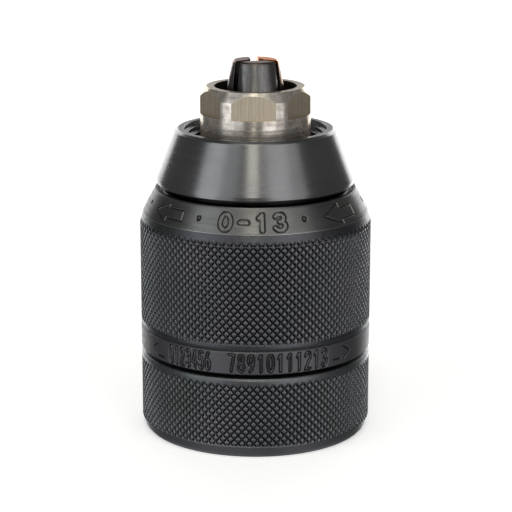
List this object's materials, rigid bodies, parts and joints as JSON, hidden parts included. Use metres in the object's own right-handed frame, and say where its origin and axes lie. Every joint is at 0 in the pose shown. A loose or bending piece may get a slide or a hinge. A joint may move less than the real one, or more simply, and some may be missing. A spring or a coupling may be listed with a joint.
{
  "type": "keyless drill chuck",
  "caption": "Keyless drill chuck with knurled steel sleeves, conical cap, hexagonal nose flats, sliding jaws driven by a threaded ring, a thrust bearing and a locking ratchet.",
  "frame": {"origin": "centre of the rear face, where the chuck seats on the spindle shoulder; the chuck stands on this face", "axes": "+Z along the chuck axis towards the nose; -Y is the side with the front jaw; +X to the right seen from -Y"},
  "size_m": [0.0428, 0.0428, 0.069],
  "materials": {
    "bright_steel": "ground and brushed bare steel with a warm tint",
    "blackened_steel": "blackened steel, knurled, semi-gloss",
    "matte_black_steel": "blackened steel, matte turned band",
    "blackened_satin_steel": "blackened steel, smooth and semi-gloss",
    "jaw_steel": "hardened dark steel with bright worn edges",
    "hardened_steel": "hardened dark steel, oiled",
    "bearing_steel": "polished bearing steel",
    "spring_steel": "spring steel, satin",
    "brass": "drilled and tumbled brass"
  },
  "bodies": {
    "chuck": {"chuck_body": "bright_steel", "rear_sleeve": "blackened_steel", "lower_race": "bearing_steel", "ratchet_ring": "hardened_steel", "retaining_ring": "spring_steel"},
    "sleeve": {"clamping_sleeve": "blackened_steel", "marking_ring": "matte_black_steel", "front_cap": "blackened_satin_steel", "threaded_ring_half_1": "hardened_steel", "threaded_ring_half_2": "hardened_steel", "ring_band": "hardened_steel", "upper_race": "bearing_steel", "pawl_carrier": "spring_steel", "pawl_spring": "spring_steel"},
    "ball_set": {"ball_cage": "brass", "ball_01": "bearing_steel", "ball_02": "bearing_steel", "ball_03": "bearing_steel", "ball_04": "bearing_steel", "ball_05": "bearing_steel", "ball_06": "bearing_steel", "ball_07": "bearing_steel", "ball_08": "bearing_steel", "ball_09": "bearing_steel", "ball_10": "bearing_steel", "ball_11": "bearing_steel", "ball_12": "bearing_steel", "ball_13": "bearing_steel", "ball_14": "bearing_steel", "ball_15": "bearing_steel"},
    "pawl": {"locking_pawl": "spring_steel"},
    "jaw_1": {"jaw_1": "jaw_steel"},
    "jaw_2": {"jaw_2": "jaw_steel"},
    "jaw_3": {"jaw_3": "jaw_steel"}
  },
  "joints": [
    {"name": "sleeve_spin", "type": "hinge", "parent": "chuck", "child": "sleeve", "pos_m": [0, 0, 0.03], "axis": [0, 0, 1], "range_deg": [-450, 2880]},
    {"name": "ball_set_spin", "type": "hinge", "parent": "chuck", "child": "ball_set", "pos_m": [0, 0, 0.036], "axis": [0, 0, 1], "range_deg": [-225, 1440]},
    {"name": "jaw_1_slide", "type": "slide", "parent": "chuck", "child": "jaw_1", "axis": [0.036, -0.2563, -0.9659], "range_m": [-0.00313, 0.02]},
    {"name": "jaw_2_slide", "type": "slide", "parent": "chuck", "child": "jaw_2", "axis": [0.204, 0.1593, -0.9659], "range_m": [-0.00313, 0.02]},
    {"name": "jaw_3_slide", "type": "slide", "parent": "chuck", "child": "jaw_3", "axis": [-0.24, 0.097, -0.9659], "range_m": [-0.00313, 0.02]},
    {"name": "pawl_swing", "type": "hinge", "parent": "sleeve", "child": "pawl", "pos_m": [-0.00248, 0.01408, 0.0459], "axis": [0, 0, 1], "range_deg": [0, 3.4], "stiffness_Nm_per_rad": 0.002}
  ],
  "couplings": [
    {"joint": "ball_set_spin", "follows": "sleeve_spin", "ratio": 0.5},
    {"joint": "jaw_1_slide", "follows": "sleeve_spin", "m_per_rad": 0.00039789},
    {"joint": "jaw_2_slide", "follows": "sleeve_spin", "m_per_rad": 0.00039789},
    {"joint": "jaw_3_slide", "follows": "sleeve_spin", "m_per_rad": 0.00039789}
  ]
}
